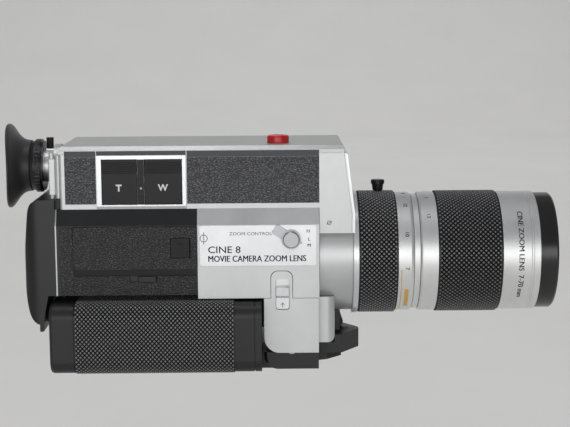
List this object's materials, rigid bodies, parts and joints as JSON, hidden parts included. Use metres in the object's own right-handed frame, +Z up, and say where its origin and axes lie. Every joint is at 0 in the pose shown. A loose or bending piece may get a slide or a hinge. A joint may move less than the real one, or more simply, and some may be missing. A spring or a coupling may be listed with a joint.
{
  "type": "cine camera",
  "caption": "Cine camera for film cartridges: zoom lens with rubber rings, reflex finder with eyecup, zoom buttons, side film door and a battery grip that folds against the body.",
  "frame": {"origin": "centre of the tripod bush's mouth, in the plane the camera stands on", "axes": "+X towards the front of the lens, parallel to the optical axis; +Z up; -Y is the operator's right, the side with the grip"},
  "size_m": [0.319, 0.0899, 0.1404],
  "materials": {
    "silver_paint": "satin silver enamel",
    "satin_aluminium": "satin anodised",
    "bright_chrome": "bright, fine brushed",
    "black_enamel": "semi-matt black",
    "black_plastic": "fine matt grain",
    "black_anodised": "black anodised",
    "leatherette": "pebbled grain",
    "ring_rubber": "pyramid knurl",
    "cup_rubber": "soft satin",
    "red_plastic": "gloss",
    "lens_glass": "coated",
    "steel": "turned",
    "brass": "turned"
  },
  "bodies": {
    "camera_body": {"upper_housing": "silver_paint", "top_cover": "silver_paint", "button_bezel": "bright_chrome", "leatherette": "leatherette", "counter_window": "lens_glass", "main_body": "black_enamel", "rear_cover": "black_enamel", "rear_fittings": "bright_chrome", "hinge_pins": "steel", "film_gate": "steel", "right_front_cover": "silver_paint", "left_front_cover": "silver_paint", "bracket_cover": "silver_paint", "name_plate": "satin_aluminium", "base_block": "black_enamel", "tripod_bush": "brass", "screws": "bright_chrome", "release_nose": "silver_paint", "finger_guard": "black_enamel", "front_housing": "silver_paint", "front_bezel": "bright_chrome", "lens_tube": "black_anodised", "motors": "steel", "optical_frame": "black_anodised", "inner_lenses": "lens_glass", "eyepiece_tube": "satin_aluminium"},
    "record_button": {"top_button": "red_plastic"},
    "tele": {"tele_button": "black_plastic"},
    "wide": {"wide_button": "black_plastic"},
    "switch": {"side_switch": "bright_chrome"},
    "socket_flap": {"socket_cover": "black_plastic"},
    "door": {"film_door": "black_enamel", "door_window": "lens_glass"},
    "latch": {"door_latch": "black_plastic"},
    "spindle": {"take_up_spindle": "steel"},
    "lock_slider": {"grip_lock": "bright_chrome"},
    "speed_selector": {"speed_dial": "black_plastic"},
    "zoom_selector": {"zoom_dial": "bright_chrome"},
    "release": {"trigger": "black_plastic"},
    "zoom_ring": {"zoom_core": "black_anodised", "zoom_grip": "ring_rubber", "zoom_scale": "satin_aluminium", "zoom_knob": "black_plastic"},
    "zoom_drive": {"zoom_pinion": "brass"},
    "zoom_group": {"variator": "black_anodised"},
    "focus_ring": {"focus_core": "black_anodised", "focus_grip": "ring_rubber", "focus_scale": "satin_aluminium"},
    "front_group": {"front_barrel": "satin_aluminium", "front_lens": "lens_glass", "hood_ring": "black_anodised"},
    "shutter_shaft": {"shutter": "steel"},
    "drive_pinion": {"motor_pinion": "brass"},
    "eyepiece_ring": {"dioptre_ring": "black_plastic", "eyecup": "cup_rubber"},
    "eyepiece_lock": {"dioptre_lock": "black_plastic"},
    "grip": {"grip_shell": "black_plastic", "grip_sleeve": "ring_rubber"},
    "cap": {"battery_cap": "black_plastic"},
    "coin_screw": {"cap_screw": "steel"}
  },
  "joints": [
    {"name": "record_press", "type": "slide", "parent": "camera_body", "child": "record_button", "axis": [0, 0, -1], "range_m": [0, 0.0014], "stiffness_N_per_m": 600, "springref_m": -0.002},
    {"name": "tele_press", "type": "slide", "parent": "camera_body", "child": "tele", "axis": [0, 1, 0], "range_m": [0, 0.0015], "stiffness_N_per_m": 500, "springref_m": -0.002},
    {"name": "wide_press", "type": "slide", "parent": "camera_body", "child": "wide", "axis": [0, 1, 0], "range_m": [0, 0.0015], "stiffness_N_per_m": 500, "springref_m": -0.002},
    {"name": "switch_slide", "type": "slide", "parent": "camera_body", "child": "switch", "axis": [-1, 0, 0], "range_m": [0, 0.0044]},
    {"name": "socket_flap_hinge", "type": "hinge", "parent": "camera_body", "child": "socket_flap", "pos_m": [-0.0551, -0.0388, 0.072], "axis": [0, 0, 1], "range_deg": [0, 100]},
    {"name": "film_door_hinge", "type": "hinge", "parent": "camera_body", "child": "door", "pos_m": [-0.1294, 0.0396, 0.056], "axis": [0, 0, 1], "range_deg": [0, 100]},
    {"name": "door_latch_slide", "type": "slide", "parent": "door", "child": "latch", "axis": [-1, 0, 0], "range_m": [0, 0.0042], "stiffness_N_per_m": 300, "springref_m": -0.002},
    {"name": "take_up_turn", "type": "hinge", "parent": "camera_body", "child": "spindle", "pos_m": [-0.084, -0.012, 0.057], "axis": [0, 1, 0], "continuous": true},
    {"name": "grip_lock_slide", "type": "slide", "parent": "camera_body", "child": "lock_slider", "axis": [0, 0, 1], "range_m": [0, 0.003], "stiffness_N_per_m": 400, "springref_m": -0.002},
    {"name": "speed_dial_turn", "type": "hinge", "parent": "camera_body", "child": "speed_selector", "pos_m": [-0.022, 0.04, 0.07], "axis": [0, 1, 0], "range_deg": [0, 150]},
    {"name": "zoom_control_turn", "type": "hinge", "parent": "camera_body", "child": "zoom_selector", "pos_m": [0.0029, -0.038, 0.0765], "axis": [0, -1, 0], "range_deg": [0, 48]},
    {"name": "trigger_press", "type": "hinge", "parent": "camera_body", "child": "release", "pos_m": [0.03075, 0, 0.0256], "axis": [0, 1, 0], "range_deg": [0, 6], "stiffness_Nm_per_rad": 4, "springref_deg": -2.86},
    {"name": "zoom_turn", "type": "hinge", "parent": "camera_body", "child": "zoom_ring", "pos_m": [0.053, 0, 0.063], "axis": [1, 0, 0], "range_deg": [-50, 70]},
    {"name": "zoom_pinion_turn", "type": "hinge", "parent": "camera_body", "child": "zoom_drive", "pos_m": [0.028, -0.01782, 0.09387], "axis": [1, 0, 0], "range_deg": [-355, 255]},
    {"name": "zoom_group_slide", "type": "slide", "parent": "camera_body", "child": "zoom_group", "axis": [1, 0, 0], "range_m": [-0.0108, 0.015]},
    {"name": "focus_turn", "type": "hinge", "parent": "camera_body", "child": "focus_ring", "pos_m": [0.1, 0, 0.063], "axis": [1, 0, 0], "range_deg": [0, 150]},
    {"name": "focus_travel", "type": "slide", "parent": "focus_ring", "child": "front_group", "axis": [1, 0, 0], "range_m": [0, 0.0026]},
    {"name": "shutter_turn", "type": "hinge", "parent": "camera_body", "child": "shutter_shaft", "pos_m": [-0.038, 0, 0.0805], "axis": [1, 0, 0], "continuous": true},
    {"name": "drive_pinion_turn", "type": "hinge", "parent": "camera_body", "child": "drive_pinion", "pos_m": [-0.034, -0.01522, 0.08604], "axis": [1, 0, 0], "continuous": true},
    {"name": "dioptre_turn", "type": "hinge", "parent": "camera_body", "child": "eyepiece_ring", "pos_m": [-0.144, 0, 0.1157], "axis": [1, 0, 0], "range_deg": [-30, 30]},
    {"name": "dioptre_lock_turn", "type": "hinge", "parent": "camera_body", "child": "eyepiece_lock", "pos_m": [-0.1378, 0, 0.128], "axis": [0, 0, 1], "range_deg": [0, 180]},
    {"name": "grip_fold", "type": "hinge", "parent": "camera_body", "child": "grip", "pos_m": [0.003, -0.022, 0.012], "axis": [0, -1, 0], "range_deg": [0, 90]},
    {"name": "battery_cap_slide", "type": "slide", "parent": "grip", "child": "cap", "axis": [-1, 0, 0], "range_m": [0, 0.0014]},
    {"name": "cap_screw_turn", "type": "hinge", "parent": "cap", "child": "coin_screw", "pos_m": [-0.126, -0.03035, 0.0207], "axis": [1, 0, 0], "range_deg": [0, 180]}
  ],
  "couplings": [
    {"joint": "zoom_pinion_turn", "follows": "zoom_turn", "ratio": -5},
    {"joint": "zoom_group_slide", "follows": "zoom_turn", "m_per_rad": 0.012},
    {"joint": "focus_travel", "follows": "focus_turn", "m_per_rad": 0.000955},
    {"joint": "drive_pinion_turn", "follows": "shutter_turn", "ratio": -2},
    {"joint": "take_up_turn", "follows": "shutter_turn", "ratio": 0.04}
  ]
}
